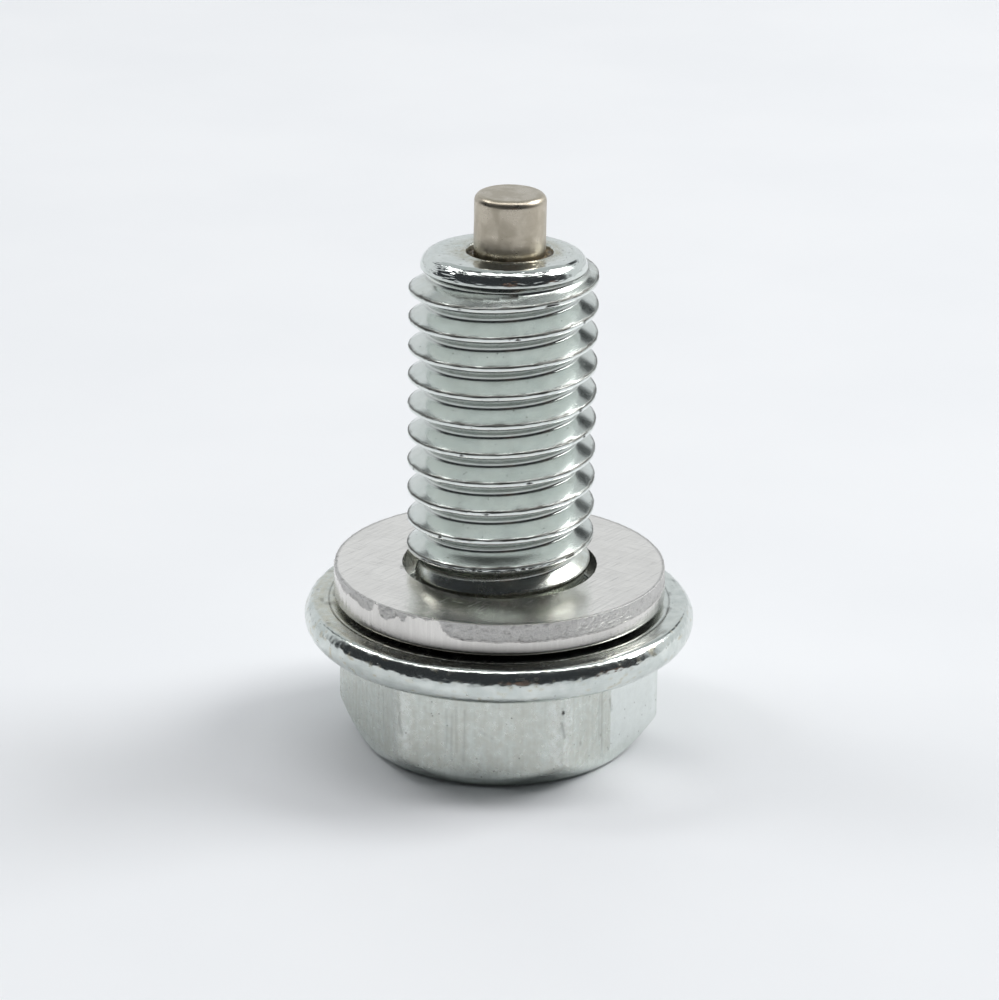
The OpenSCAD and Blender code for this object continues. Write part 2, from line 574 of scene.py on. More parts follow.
@dataclass(frozen=True)
class ZincPlate(Finish):
    """Bright zinc plate over steel: pale, a little green, mottled and full of fine pits.

    Attributes:
        light: colour of the clean plate.
        dull: colour of its duller patches.
        gloss: roughness of the clean plate.
        haze: how much rougher the dull patches are.
        grain: which way the tool marks under the plate run.
        line_depth: depth of those marks in millimetres.
        pit_depth: depth of the plate's own fine unevenness in millimetres.
        patch: number of dull patches to a millimetre.
        lined: how much the tool marks change the colour.
        film: colour of its stains, also used for the painted shade on the head's left-hand flats.
        bare_and_highlight: colour of bright wear on the plate, also used for the painted highlight on the
            head's right-hand flats.
        shade_and_dirt_colour: dark colour of the fine pits and of oily residue, also used for painted shade in
            creases, thread roots and recesses.
    """

    light: Colour = (0.755, 0.795, 0.77)
    dull: Colour = (0.60, 0.65, 0.63)
    gloss: float = 0.16
    haze: float = 0.16
    grain: Grain = Grain.AROUND
    line_depth: float = 0.0012
    pit_depth: float = 0.0022
    patch: float = 0.9
    lined: float = 0.2
    film: Colour = (0.45, 0.42, 0.30)
    bare_and_highlight: Colour = (0.90, 0.93, 0.93)
    shade_and_dirt_colour: Colour = (0.055, 0.052, 0.045)

    def material(self) -> bpy.types.Material:
        """Builds the material.

        Returns:
            The finished material.
        """
        material, g = self.graph()
        place = g.place()
        grime, worn, stained = g.mark("grime"), g.mark("worn"), g.mark("stained")
        patches = g.noise(place, self.patch, 4.0, 0.4).ramp(0.30, 0.72)
        marks = self.lines(g, place, self.grain, 9.0)
        fine = g.noise(place, 8.0, 3.0)
        grit = g.noise(place, 26.0, 2.0)
        pits = g.dots(place, 2.2).ramp(0.10, 0.03)
        drawn = self.lines(g, place, self.grain, 3.0)
        stain = stained * (g.noise(place, 3.4, 5.0, 0.6) * 0.55 + drawn * 0.45).ramp(0.26, 0.68)
        mottled = patches * (1 - self.lined) + marks.ramp(0.3, 0.7) * self.lined
        tone = g.colour(mottled, self.light, self.dull)
        # Painted light is mixed in here: the bare colour paints highlights, and the film colour and the dark
        # colour paint shade.
        tone = g.colour(worn * 0.7, tone, self.bare_and_highlight)
        tone = g.colour(stain, tone, self.film)
        tone = g.colour((grime + pits * 0.7).math("MINIMUM", 1.0) * 0.95, tone, self.shade_and_dirt_colour)
        rough = self.gloss + patches * self.haze + (fine - 0.5) * 0.10
        rough = rough + grime * 0.2 - worn * 0.08 + stained * 0.2
        height = fine * 0.55 + grit * 0.25 + marks * (self.line_depth / self.pit_depth) - pits * 1.5
        self.coat(
            g,
            Base_Color=tone,
            Metallic=1.0,
            Roughness=rough.most(0.06),
            Normal=g.bumped(height, self.pit_depth),
        )
        return material


@dataclass(frozen=True)
class BareAluminium(Finish):
    """Soft sheet aluminium: brushed faces, and an edge that is part sheared, part torn."""

    light: Colour = (0.93, 0.905, 0.865)
    dull: Colour = (0.74, 0.72, 0.69)
    torn: Colour = (0.56, 0.553, 0.543)
    scratch: Colour = (0.36, 0.35, 0.34)
    shade_and_dirt_colour: Colour = (0.09, 0.085, 0.08)
    relief: float = 0.0045

    def material(self) -> bpy.types.Material:
        """Builds the material.

        Returns:
            The finished material.
        """
        material, g = self.graph()
        place = g.place()
        face, coarse, grime = g.mark("face"), g.mark("coarse"), g.mark("grime")
        brushed = self.lines(g, place, Grain.BRUSHED, 22.0)
        cross = self.lines(g, place, Grain.BRUSHED, 20.0, -28.0)
        sheared = self.lines(g, place, Grain.ALONG, 12.0)
        cloud = g.noise(place, 0.7, 3.0, 0.5).ramp(0.35, 0.68)
        grit = g.noise(place, 9.0, 4.0)
        deep = brushed.ramp(0.62, 0.70) + cross.ramp(0.64, 0.72)
        strokes = face * (brushed * 0.6 + cross * 0.4)
        streak = strokes + (1 - face) * (0.22 + sheared * 0.8 + grit * 0.3)
        tone = g.colour((streak * 1.1 + cloud * 0.12 - 0.1).ramp(0.2, 0.9), self.light, self.dull)
        tone = g.colour(face * deep * 0.42, tone, self.scratch)
        grain = g.noise(place, 19.0, 3.0)
        tone = g.colour(coarse * (0.45 + grain.ramp(0.35, 0.65) * 0.55), tone, self.torn)
        # The dark mark holds real residue, and also the painted shade and painted dark reflection low on the
        # washer's outside edge.
        tone = g.colour(grime, tone, self.shade_and_dirt_colour)
        rough = 0.11 + streak * 0.10 + cloud * 0.04 + coarse * 0.24 + deep * face * 0.1
        height = strokes + (1 - face) * (sheared * 0.5 + grit * 0.8) + coarse * (grit * 4.0 + grain * 3.0)
        self.coat(
            g,
            Base_Color=tone,
            Metallic=1.0,
            Roughness=rough,
            Normal=g.bumped(height, self.relief),
        )
        return material


@dataclass(frozen=True)
class NickelPlate(Finish):
    """Satin nickel plate on a sintered magnet: warm grey with faint patches."""

    light: Colour = (0.585, 0.53, 0.44)
    dull: Colour = (0.46, 0.41, 0.325)
    shade_and_dirt_colour: Colour = (0.12, 0.10, 0.075)
    relief: float = 0.0022

    def material(self) -> bpy.types.Material:
        """Builds the material.

        Returns:
            The finished material.
        """
        material, g = self.graph()
        place = g.place()
        cloud = g.noise(place, 1.5, 3.0, 0.6).ramp(0.34, 0.66)
        marks = self.lines(g, place, Grain.AROUND, 12.0)
        fine = g.noise(place, 11.0, 3.0)
        specks = g.dots(place, 5.0).ramp(0.10, 0.04)
        tone = g.colour(cloud * 0.7 + marks * 0.3, self.light, self.dull)
        tone = g.colour((specks * 0.7).most(g.mark("grime")), tone, self.shade_and_dirt_colour)
        rough = 0.28 + cloud * 0.10 + (fine - 0.5) * 0.16
        height = fine * 0.7 + marks * 0.4 - specks * 0.6
        self.coat(
            g,
            Base_Color=tone,
            Metallic=1.0,
            Roughness=rough,
            Normal=g.bumped(height, self.relief),
        )
        return material


@dataclass(frozen=True)
class SetGlue(Finish):
    """Brown glue that has set in the gap round the magnet."""

    light: Colour = (0.30, 0.23, 0.12)
    dark: Colour = (0.07, 0.05, 0.03)

    def material(self) -> bpy.types.Material:
        """Builds the material.

        Returns:
            The finished material.
        """
        material, g = self.graph()
        place = g.place()
        cloud = g.noise(place, 3.0, 3.0, 0.5)
        fine = g.noise(place, 14.0, 2.0)
        self.coat(
            g,
            Base_Color=g.colour(cloud.ramp(0.35, 0.65), self.light, self.dark),
            Roughness=0.18 + fine * 0.25,
            Normal=g.bumped(cloud * 0.7 + fine * 0.3, 0.02),
        )
        return material


@dataclass(frozen=True)
class PaleTable(Finish):
    """The matt pale table top that the plug stands on."""

    light: Colour = (0.885, 0.895, 0.915)
    dull: Colour = (0.86, 0.872, 0.895)

    def material(self) -> bpy.types.Material:
        """Builds the material.

        Returns:
            The finished material.
        """
        material, g = self.graph()
        cloud = g.noise(g.place(), 0.05, 3.0)
        self.coat(
            g,
            Base_Color=g.colour(cloud.ramp(0.3, 0.7), self.light, self.dull),
            Roughness=0.55,
            Specular_IOR_Level=0.25,
        )
        return material


def dress(piece: bpy.types.Object, material: bpy.types.Material, node: Optional[str]) -> None:
    """Gives a piece its finish and hangs it on the frame.

    Args:
        piece: the mesh object.
        material: its material.
        node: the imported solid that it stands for, if any.
    """
    piece.data.materials.append(material)
    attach(piece, "root")
    if node:
        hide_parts(node)
    LOG.info("%s: %d faces", piece.name, len(piece.data.polygons))


# The plug


@dataclass
class HexHead:
    """Hexagon head with its chamfered corners and rounded end.

    A score is a scratch on the flats: angle and height of its two ends, and how deep it is.
    """

    across_flats: float = 11.9
    height: float = 3.93
    corner_r: float = 0.3
    turn: float = -6.8
    end_r: float = 5.45
    end_edge_r: float = 0.5
    flange_slope: float = 23.0
    chamfer_blend: float = 0.16
    side_rows: int = 70
    scored_r: float = 6.2
    score_depth: float = 0.03
    score_width: float = 0.055
    wave: float = 0.008
    draw: float = 0.004
    scores: tuple[tuple[float, float, float, float, float], ...] = (
        (-43.4, 3.6, -43.0, 1.0, 0.5),
        (-45.2, 3.5, -44.9, 1.5, 0.35),
        (-38.0, 3.15, -36.6, 2.6, 0.7),
        (-66.9, 3.2, -65.8, 2.5, 0.8),
        (-103.0, 3.5, -103.4, 1.2, 0.4),
        (-106.5, 3.6, -106.2, 1.6, 0.35),
        (-108.0, 3.3, -108.4, 1.3, 0.35),
        (-110.2, 3.5, -110.0, 1.8, 0.3),
        (-127.0, 3.0, -125.6, 2.2, 0.6),
        (-97.0, 2.6, -92.0, 2.3, 0.3),
        (-57.0, 1.9, -56.6, 1.8, 0.9),
        (-43.8, 1.75, -43.5, 1.7, 0.9),
        (-140.0, 3.4, -139.5, 1.8, 0.4),
        (34.0, 3.4, 34.5, 1.6, 0.5),
        (80.0, 3.2, 84.0, 2.2, 0.5),
        (152.0, 3.5, 152.3, 1.4, 0.5),
    )

    def reach(self, angle: Array) -> Array:
        """Gives the hexagon's radius.

        Args:
            angle: angles in radians.

        Returns:
            Distance from the axis to the outline, with its rounded corners.
        """
        corner = np.mod(angle - math.radians(self.turn) + math.pi / 6, math.pi / 3) - math.pi / 6
        centre = self.across_flats / 2 / math.cos(math.pi / 6) - self.corner_r / math.cos(math.pi / 6)
        inside = np.maximum(self.corner_r**2 - (centre * np.sin(corner)) ** 2, 0)
        rounded = centre * np.cos(corner) + np.sqrt(inside)
        straight = self.across_flats / 2 / np.cos(math.pi / 6 - np.abs(corner))
        meets = math.atan2(self.corner_r * 0.5, centre + self.corner_r * math.cos(math.pi / 6))
        return np.where(np.abs(corner) < meets, rounded, straight)

    def angles(self) -> Array:
        """Lists the columns' angles in radians, closer together at the six corners."""
        side = np.linspace(3.2, 30, 48)
        spread = np.concatenate([-side[::-1], np.linspace(-3.2, 3.2, 19)[1:-1], side[:-1]])
        return np.radians(np.concatenate([self.turn + 60 * k + spread for k in range(6)]))

    def scored(self, angle: Array, height: Array) -> Array:
        """Gives how deep the scratches and pits on the flats are, from 0 to 1.

        Args:
            angle: angles of the points, in radians.
            height: heights of the points.

        Returns:
            The depth, where each score is a short line between two places.
        """
        deep = np.zeros(np.broadcast_shapes(angle.shape, height.shape))
        reach = math.radians(1) * self.scored_r
        for first, low, last, high, strength in self.scores:
            x = (np.mod(np.degrees(angle) - first + 180, 360) - 180) * reach
            y = height - low
            run = ((last - first) * reach, high - low)
            share = np.clip((x * run[0] + y * run[1]) / (run[0] ** 2 + run[1] ** 2), 0, 1)
            away = np.hypot(x - share * run[0], y - share * run[1])
            deep = np.maximum(deep, strength * line_at(away, 0, self.score_width))
        return deep

    def skin(self) -> Skin:
        """Builds the head's surface.

        Returns:
            The surface, from the middle of the end face up to the flange.
        """
        angle = self.angles()
        full = self.reach(angle)[:, None]
        profile = [(0.0, 0.0)] + line((0, 0), (self.end_r, 0), 9) + arc(
            (self.end_r, self.end_edge_r), self.end_edge_r, (-90, -45), 8
        )
        radius = np.array([p[0] for p in profile])[None, :].repeat(len(angle), 0)
        height = np.array([p[1] for p in profile])[None, :].repeat(len(angle), 0)
        low_r, low_z = profile[-1]
        share = np.linspace(0, 1, self.side_rows + 1)[None, 1:] ** 1.25
        top = self.height + (full - self.across_flats / 2) * math.tan(math.radians(self.flange_slope)) + 0.06
        side_z = low_z + (top - low_z) * share
        cone = low_r + (side_z - low_z)
        waves = self.wave * Ripple(11).over(angle[:, None], side_z, 40, 1.4)
        draw = self.draw * Ripple(12).around(angle, 230)[:, None]
        side_r = soft_least(full + 0 * side_z, cone, self.chamfer_blend) + waves + draw
        side_r -= 0.10 * bump_at(angle[:, None], side_z, (-66.5, 3.75), (1.1, 0.22))
        side_r -= 0.05 * bump_at(angle[:, None], side_z, (-67.2, 3.1), (0.8, 0.30))
        side_r -= 0.05 * bump_at(angle[:, None], side_z, (233.0, 3.2), (0.9, 0.5))
        side_r -= self.score_depth * self.scored(angle[:, None], side_z)
        radius = np.concatenate([radius, side_r], axis=1)
        height = np.concatenate([height, side_z], axis=1)
        turns = angle[:, None] + 0 * height
        corner = line_at(full, radius.max() - 0.1, 0.12) * smooth(0.9, 1.4, height)
        worn = 0.7 * corner * (0.5 + 0.5 * Ripple(13).over(turns, height, 300, 0.2))
        degrees = np.degrees(turns)
        # Painted highlight on the right-hand flats: they get the bright bare colour, a smoother finish and a
        # little less film, so that they look lit.
        right = smooth(-66, -58, degrees) * smooth(-5, -12, degrees)
        worn = worn + 0.6 * right * smooth(0.5, 1.2, height)
        # Painted shade darkens the flats just under the flange's overhang; the scores hold real residue.
        grime = 0.5 * smooth(0.12, 0.0, top - height) + 0.45 * self.scored(angle[:, None], height)
        side = smooth(0.5, 1.0, height)
        front = smooth(-130, -118, degrees) * smooth(-62, -72, degrees)
        # Painted shade on the left-hand flats: the mask below gives them more film, which darkens them as if
        # they mirrored the shadowed table beside them.
        left = smooth(-190, -184, degrees) * smooth(-124, -130, degrees)
        left = np.maximum(left, smooth(170, 176, degrees))
        cloud = 0.5 + 0.5 * Ripple(14).over(turns, height, 44, 0.7)
        middle = line_at(degrees, -97, 20)
        film = 0.10 + front * (0.10 + 0.65 * cloud * middle * smooth(3.8, 2.4, height))
        # Painted light: more film darkens the left-hand flats, and a little less lightens the right-hand ones.
        film = film + 0.25 * left - 0.06 * right
        marks = marks_of(worn=worn, grime=grime, stained=film * side)
        return Skin(turned(angle, radius, height), ring_faces(len(angle), radius.shape[1]), marks)

    def build(self) -> None:
        """Makes and dresses the head."""
        finish = ZincPlate(
            "zinc_plate_head",
            light=(0.71, 0.755, 0.72),
            dull=(0.61, 0.65, 0.615),
            gloss=0.20,
            haze=0.05,
            grain=Grain.ALONG,
            line_depth=0.003,
            pit_depth=0.0030,
            patch=3.2,
            lined=0.36,
            film=(0.46, 0.425, 0.345),
        )
        dress(self.skin().piece("hex_head"), finish.material(), "plug_body")


@dataclass
class Flange:
    """Round flange with a fat rim, and the raised seat under the washer."""

    head: HexHead
    diameter: float = 16.5
    rim_r: float = 0.9
    shoulder_r: float = 0.4
    shoulder_from: float = 39.0
    seat_r: float = 5.2
    seat_h: float = 0.22
    seat_slope: float = 35.0
    crease_r: float = 7.2
    neck_r: float = 3.585
    columns: int = 720
    under_r: float = 5.4
    swell: float = 0.012
    dimple: float = 0.006
    peel: float = 0.008
    crease_depth: float = 0.03

    def underside(self, radius: float) -> float:
        """Gives the height of the flange's sloped underside."""
        rise = math.tan(math.radians(self.head.flange_slope))
        return self.head.height + (radius - self.head.across_flats / 2) * rise

    @property
    def rim_centre(self) -> Pair:
        """Gives the radius and height of the rim's centre."""
        low = math.radians(self.head.flange_slope - 90)
        x = self.diameter / 2 - self.rim_r
        return x, self.underside(x + self.rim_r * math.cos(low)) - self.rim_r * math.sin(low)

    @property
    def face_z(self) -> float:
        """Gives the height of the flange's face."""
        rise = (self.rim_r - self.shoulder_r) * math.sin(math.radians(self.shoulder_from))
        return self.rim_centre[1] + rise + self.shoulder_r

    @property
    def seat_z(self) -> float:
        """Gives the height of the raised seat."""
        return self.face_z + self.seat_h

    def profile(self) -> list[Pair]:
        """Lists the flange's profile.

        Returns:
            Pairs of radius and height, from under the head to the neck.
        """
        rim_x, rim_z = self.rim_centre
        low = self.head.flange_slope - 90
        turn = math.radians(self.shoulder_from)
        shift = self.rim_r - self.shoulder_r
        shoulder = (rim_x + shift * math.cos(turn), rim_z + shift * math.sin(turn))
        inner = (self.under_r, self.underside(self.under_r))
        rim = arc((rim_x, rim_z), self.rim_r, (low, self.shoulder_from), 34)
        lip = arc(shoulder, self.shoulder_r, (self.shoulder_from, 90), 10)
        foot = (self.seat_r + self.seat_h / math.tan(math.radians(self.seat_slope)), self.face_z)
        seat = (self.seat_r, self.seat_z)
        return [
            inner,
            *line(inner, rim[0], 12),
            *rim,
            *lip[1:],
            *line(lip[-1], foot, 56),
            foot,
            *line(foot, seat, 4),
            seat,
            *line(seat, (self.neck_r, self.seat_z), 5),
            (self.neck_r, self.seat_z),
        ]

    def skin(self) -> Skin:
        """Builds the flange's surface.

        Returns:
            The surface, with its rim's small waves and the crease on its face.
        """
        profile = np.array(self.profile())
        angle, radius, height, turns = swept(profile, self.columns)
        run = np.concatenate([[0], np.cumsum(np.hypot(*np.diff(profile, axis=0).T))]) + 0 * radius
        outside = smooth(6.9, 7.3, radius)
        rim = self.swell * Ripple(21).over(turns, run, 26, 2.2)
        rim = rim + self.dimple * Ripple(22).over(turns, run, 130, 0.3)
        rim = rim + self.peel * Ripple(27).over(turns, run, 400, 0.10)
        radius = radius + outside * (rim - 0.017)
        face = smooth(self.face_z - 0.05, self.face_z, height) * smooth(5.9, 6.1, radius)
        ring = line_at(radius, self.crease_r, 0.035) * face
        height = height - self.crease_depth * ring + 0.003 * face * Ripple(23).over(turns, radius, 60, 0.12)
        height = height - 0.03 * face * smooth(7.2, 7.7, radius) * (0.5 + 0.5 * Ripple(24).around(turns, 18))
        lip = line_at(run, 5.75, 0.14) * outside
        worn = 0.4 * lip * (0.5 + 0.5 * Ripple(25).over(turns, run, 240, 0.1))
        grime = 0.35 * face * smooth(0.55, 0.9, Ripple(26).over(turns, radius, 90, 0.25))
        left = 0.5 - 0.5 * np.cos(turns - math.radians(20))
        spots = smooth(0.45, 0.75, Ripple(28).over(turns, run, 200, 0.16))
        front = (0.5 - 0.5 * np.sin(turns)) * smooth(7.5, 7.2, radius)
        film = face * np.maximum(0.06 + 0.42 * left, 0.2 * front)
        film = film + outside * (1 - face) * (0.06 + 0.5 * spots)
        # Painted shade darkens the crease ring on the face; the face's random patches are real residue.
        marks = marks_of(worn=worn, grime=grime + 0.55 * ring, stained=film)
        return Skin(turned(angle, radius, height), ring_faces(self.columns, radius.shape[1]), marks)

    def build(self) -> None:
        """Makes and dresses the flange."""
        finish = ZincPlate(
            "zinc_plate_flange",
            gloss=0.12,
            haze=0.08,
            pit_depth=0.0036,
            patch=1.6,
            film=(0.52, 0.45, 0.28),
        )
        dress(self.skin().piece("flange"), finish.material(), "plug_body")


@dataclass
class Shank:
    """Neck, rolled thread, tip and the mouth of the magnet's pocket, in one surface."""

    flange: Flange
    thread_r: float = 3.935
    pitch: float = 1.25
    length: float = 15.34
    neck_length: float = 1.2
    fillet_r: float = 0.25
    runout: float = 0.9
    groove_runout: float = 1.5
    tip_r: float = 3.455
    tip_edge_r: float = 0.65
    lead: float = 0.65
    start_turn: float = 106.0
    mouth_r: float = 1.8
    mouth_depth: float = 1.2
    pocket_off: float = 0.22
    lean: float = 2.0
    inset: float = 0.02
    columns: int = 288
    crest_half: float = field(init=False)
    depth: float = field(init=False)
    root_round: float = field(init=False)
    rolled_share: float = 0.6134

    def __post_init__(self) -> None:
        """Works out the thread's form from its pitch."""
        self.crest_half = self.pitch / 16
        self.depth = self.rolled_share * self.pitch
        self.root_round = (self.pitch / 2 - self.crest_half) * math.tan(math.radians(60)) - self.depth

    @property
    def low_z(self) -> float:
        """Gives the height at which the thread's lattice starts, over the neck's fillet."""
        return self.flange.seat_z + self.fillet_r

    @property
    def end_z(self) -> float:
        """Gives the height of the tip's end face."""
        return self.flange.face_z + self.length

    @property
    def high_z(self) -> float:
        """Gives the height at which the thread ends under the tip's rounded edge."""
        return self.end_z - self.tip_edge_r

    def form(self) -> Array:
        """Lists one pitch of the thread, from the middle of one groove to just before the next.

        Returns:
            Pairs of distance from the crest's middle and share of the full height.
        """
        half, round_r = self.pitch / 2, self.root_round
        bends = np.radians([0, 15, 30, 45, 60])
        root = [(-half + round_r * math.sin(a), round_r * (1 - math.cos(a))) for a in bends]
        (low_x, low_h), flank_high = root[-1], (-self.crest_half - 0.02, self.depth - 0.035)
        shares = (0.30, 0.60, 0.82, 0.92)
        flank = [(low_x + (flank_high[0] - low_x) * s, low_h + (flank_high[1] - low_h) * s) for s in shares]
        crest = [(-0.075, self.depth - 0.008), *[(u, self.depth) for u in (-0.055, -0.035, -0.018, 0.0)]]
        low_side = [*root, *flank, flank_high, *crest]
        high_side = [(-u, h) for u, h in reversed(low_side[1:-1])]
        rows = np.array(low_side + high_side)
        rows[:, 1] /= self.depth
        return rows

    def run_in(self, height: Array, length: float) -> Array:
        """Gives the share of the full depth that a groove or crest has over the neck.

        Args:
            height: height of the groove's or crest's middle.
            length: height over which it grows.

        Returns:
            The share, from 0 to 1.
        """
        start = self.flange.seat_z + self.neck_length
        return np.sin(np.clip((height - start) / length, 0, 1) * math.pi / 2)

    def grown(self, height: Array) -> Array:
        """Gives the share of its full height that a crest has, fading at the neck and at the tip."""
        at_tip = np.clip((self.high_z - height) / self.lead + 0.5, 0, 1)
        return np.minimum(self.run_in(height, self.runout), at_tip)

    def root_at(self, height: Array) -> Array:
        """Gives the radius at the root of a groove whose middle is at this height."""
        end = self.flange.neck_r - self.inset
        return end - (end - self.thread_r + self.depth) * self.run_in(height, self.groove_runout)

    def crest_at(self, height: Array) -> Array:
        """Gives the radius on a crest whose middle is at this height."""
        end = np.where(height < (self.low_z + self.high_z) / 2, self.flange.neck_r, self.tip_r) - self.inset
        return end + (self.thread_r - 0.004 - end) * self.grown(height)

    def seam(self, along: Array, across: Array) -> tuple[Array, Array]:
        """Shapes the ragged seam that rolling leaves on the crest.

        Args:
            along: distance along the helix, in millimetres.
            across: distance from the crest's middle.

        Returns:
            How far the surface stands lower, in millimetres, and how much painted shade darkens the seam's
            groove and its chips.
        """
        wander = 0.012 * Ripple(31).along(along, 0.5) + 0.010 * Ripple(32).along(along, 0.17)
        width = 0.036 + 0.012 * Ripple(33).along(along, 0.31)
        open_ = 0.75 + 0.25 * Ripple(34).along(along, 0.7)
        groove = line_at(across - wander, 0.090, width) * open_
        lips = 0.007 * Ripple(35).along(along, 0.23) * line_at(across, 0, 0.09)
        chip = smooth(0.80, 0.97, Ripple(36).along(along, 0.42)) * line_at(across, 0, 0.06)
        burr = smooth(0.35, 0.85, Ripple(38).along(along, 0.13)) * line_at(across, 0.03, 0.03)
        lower = 0.022 * groove + lips + 0.05 * chip - 0.016 * burr + 0.006
        # The second value is painted shade for the seam's groove and chips.
        return lower, np.clip(1.5 * groove + chip, 0, 1)

    def thread(self) -> tuple[Skin, Array, Array]:
        """Builds the thread as a lattice whose rows follow the helix.

        Returns:
            The lattice, and the numbers of the points in its lowest and in its highest ring.
        """
        form = self.form()
        count = len(form)
        below = math.ceil((self.high_z - self.low_z) / self.pitch) + 2
        rows = count * (below + 4)
        first = self.high_z - self.pitch * (self.start_turn / 360 + below)
        column, row = np.arange(self.columns), np.arange(rows)
        crest = first + self.pitch * (row // count)[None, :] + self.pitch * column[:, None] / self.columns
        across = form[row % count, 0][None, :] + 0 * crest
        height = crest + across
        share = form[row % count, 1][None, :]
        base = self.root_at(crest + np.sign(across) * self.pitch / 2)
        along = (crest - first) / self.pitch * FULL_TURN * self.thread_r
        lower, dark = self.seam(along, across)
        wave = 0.006 * Ripple(37).along(along, 1.9) * share
        near_crest = line_at(across, 0, 0.14)
        grown = self.grown(crest)
        radius = base + (self.crest_at(crest) - base) * share - (lower * near_crest - wave) * grown
        radius += (self.tip_r - self.inset - radius) * smooth(self.high_z - 0.20, self.high_z, height)
        low = (height <= self.low_z + 0.02).sum(1)
        high = (height < self.high_z - 0.02).sum(1) - 1
        order = row[None, :] + 0 * column[:, None]
        is_low, is_high = order < low[:, None], order > high[:, None]
        height = np.where(is_low, self.low_z, np.where(is_high, self.high_z, height))
        radius = np.where(is_high, self.tip_r - self.inset, radius)
        radius = np.where(is_low, self.flange.neck_r - self.inset, radius)
        angle = FULL_TURN * column / self.columns
        points = turned(angle, radius, height)

        def number(col: Array, lattice_row: Array) -> Array:
            """Gives a lattice point's number: past the last column it is one turn up."""
            wraps = col == self.columns
            col, lattice_row = np.where(wraps, 0, col), lattice_row + count * wraps
            return col * rows + np.clip(lattice_row, low[col] - 1, high[col] + 1)

        cols, lines = np.meshgrid(column, np.arange(rows - count - 1), indexing="ij")
        cols, lines = cols.reshape(-1), lines.reshape(-1)
        steps = ((0, 0), (1, 0), (1, 1), (0, 1))
        faces = np.stack([number(cols + c, lines + r) for c, r in steps], axis=-1)
        # Painted shade darkens the seam's groove and chips and the roots between the crests.
        grime = np.clip(dark * grown + 0.30 * smooth(0.16, 0.0, share + 0 * crest) * grown, 0, 1)
        # Painted shadow: a dark band just under the tip's rounded edge, where its overhang shades the last
        # crest.
        shade_under_tip = smooth(self.high_z - 0.13, self.high_z - 0.03, height) * (1 - is_high)
        grime = np.maximum(grime, 0.7 * shade_under_tip)
        worn = np.clip(smooth(0.02, -0.03, across) * near_crest * grown, 0, 1)
        stained = 0.12 + 0.45 * smooth(self.low_z + 2.3, self.low_z + 1.2, height)
        stained += 0.10 * smooth(self.high_z - 1.2, self.high_z - 0.4, height)
        skin = Skin(points, faces, marks_of(grime=grime, worn=worn, stained=stained))
        return skin, column * rows + low - 1, column * rows + high + 1

    def lower(self) -> list[Pair]:
        """Lists the neck's profile up to the thread, by radius and height."""
        z, r = self.flange.seat_z, self.fillet_r
        return arc((self.flange.neck_r + r, z + r), r, (-90, -180), 6)

    def upper(self) -> tuple[Array, Array]:
        """Lists the tip's profile down into the pocket.

        Returns:
            Pairs of radius and height, and how far each row is moved to the side.
        """
        edge_x = self.tip_r - self.tip_edge_r
        rim = arc((edge_x, self.high_z), self.tip_edge_r, (0, 90), 44)
        lip_r = self.mouth_r + 0.07
        face = line(rim[-1], (lip_r, self.end_z), 24)
        lip = arc((lip_r, self.end_z - 0.07), 0.07, (90, 180), 4)
        wall = [(self.mouth_r, self.end_z - 0.07 - d) for d in (0.1, 0.25, 0.5, 0.8, self.mouth_depth - 0.08)]
        rows = np.array([*rim, *face, *lip, *wall])
        side = self.pocket_off * np.clip((edge_x - rows[:, 0]) / (edge_x - lip_r), 0, 1)
        return rows, side

    def skin(self) -> Skin:
        """Builds the whole shank's surface.

        Returns:
            The thread's lattice with the neck's fillet below it and the tip above it.
        """
        thread, low_ring, high_ring = self.thread()
        angle, low_r, low_z, _ = swept(self.lower(), self.columns)
        low_points = turned(angle, low_r, low_z)
        low_first = len(thread.points)

        high, side = self.upper()
        angle, high_r, high_z, turns = swept(high, self.columns)
        flat = smooth(self.end_z - 0.01, self.end_z, high_z)
        flat = flat * smooth(self.mouth_r + 0.1, self.mouth_r + 0.3, high_r)
        edge = smooth(self.high_z, self.high_z + 0.15, high_z) * (1 - flat)
        turning = Ripple(41).over(turns, high_r - high_z, 90, 0.05)
        dents = Ripple(42).over(turns, high_r, 70, 0.16)
        scraped = bump_at(turns, high_z, (222, self.end_z - 0.25), (22, 0.35))
        peel = Ripple(44).over(turns, high_r - high_z, 250, 0.1)
        lip = line_at(high_r, self.mouth_r + 0.12, 0.045) * (0.8 + 0.2 * Ripple(45).around(turns, 60))
        high_r = high_r + edge * (0.007 * turning - 0.007 + 0.004 * peel + 0.016 * scraped * turning)
        high_z = high_z - flat * (0.014 * smooth(0.3, 0.9, dents) + 0.006 * (1 + turning)) + 0.04 * lip
        high_first = low_first + len(low_points)
        high_points = turned(angle, high_r, high_z, side[None, :])
        high_stain = 0.12 + 0.7 * smooth(self.mouth_r + 0.9, self.mouth_r + 0.1, high_r)
        high_grime = 0.8 * flat * smooth(0.72, 0.95, Ripple(43).over(turns, high_r, 120, 0.1))
        # Painted shade darkens the pocket's wall deeper inside; the spots on the end face above are real
        # residue.
        high_grime += 0.9 * smooth(0.0, 0.35, self.end_z - high_z) * (high_r < self.mouth_r + 0.02)
        high_worn = edge * np.clip(0.25 + 0.6 * scraped + 0.2 * turning, 0, 1)

        def strip(first_ring: Array, second_ring: Array) -> Array:
            """Lists the faces between two rings of points, the second one higher."""
            ahead = np.roll(np.arange(self.columns), -1)
            return np.stack([first_ring, first_ring[ahead], second_ring[ahead], second_ring], axis=-1)

